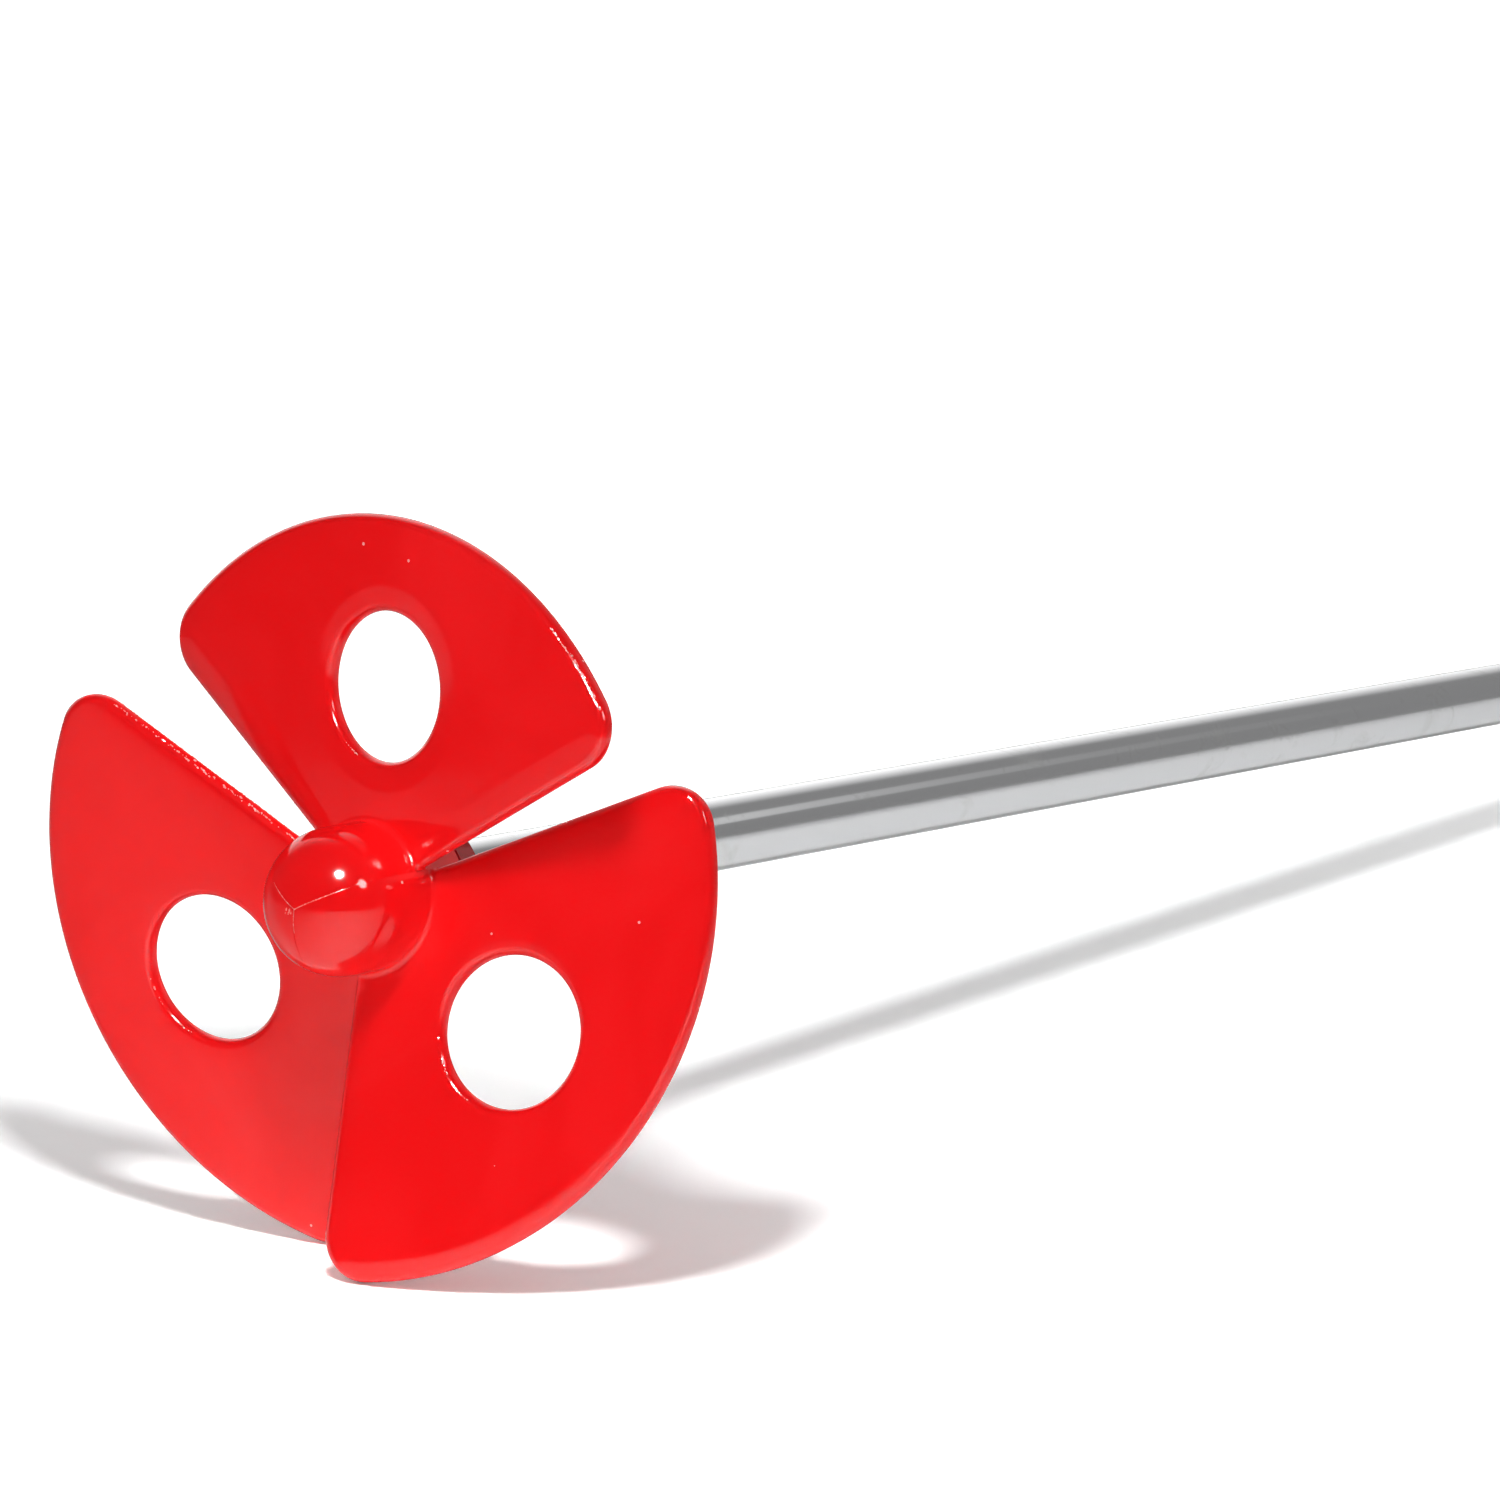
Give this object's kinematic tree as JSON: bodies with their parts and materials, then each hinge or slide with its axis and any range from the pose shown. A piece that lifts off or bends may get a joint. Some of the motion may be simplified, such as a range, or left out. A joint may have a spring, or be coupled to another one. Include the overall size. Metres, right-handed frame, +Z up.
{
  "type": "garden windmill",
  "caption": "Garden windmill: pitched, pierced blades round a ball-nosed hub that spins freely on the end of a straight plated rod with a ground spike.",
  "frame": {"origin": "middle of the underside of the box that holds the whole windmill, lying down as it rests", "axes": "+Z up, the nose towards -Y and the rod towards +Y, sloping down by its resting tilt"},
  "size_m": [0.077, 0.535, 0.0762],
  "materials": {
    "blade_red": "glossy moulded plastic",
    "core_nylon": "natural nylon, satin",
    "sleeve_brass": "turned brass, fine turning marks",
    "ring_red": "glossy moulded plastic, a darker red than the blades",
    "rod_chrome": "bright plated steel, lightly smudged",
    "axle_steel": "turned steel, collar polished",
    "washer_steel": "stamped steel",
    "clip_spring_steel": "oiled spring steel",
    "spike_steel": "bright zinc-plated steel"
  },
  "bodies": {
    "stake": {"rod_tube": "rod_chrome", "axle_pin": "axle_steel", "rear_washer": "washer_steel", "front_washer": "washer_steel", "retaining_clip": "clip_spring_steel", "ground_spike": "spike_steel"},
    "rotor": {"blade_1": "blade_red", "blade_2": "blade_red", "blade_3": "blade_red", "hub_core": "core_nylon", "bearing_sleeve": "sleeve_brass", "clamp_ring": "ring_red"}
  },
  "joints": [
    {"name": "rotor_spin", "type": "hinge", "parent": "stake", "child": "rotor", "pos_m": [0, -0.25431, 0.03782], "axis": [0, -0.9977, 0.0679], "continuous": true}
  ]
}
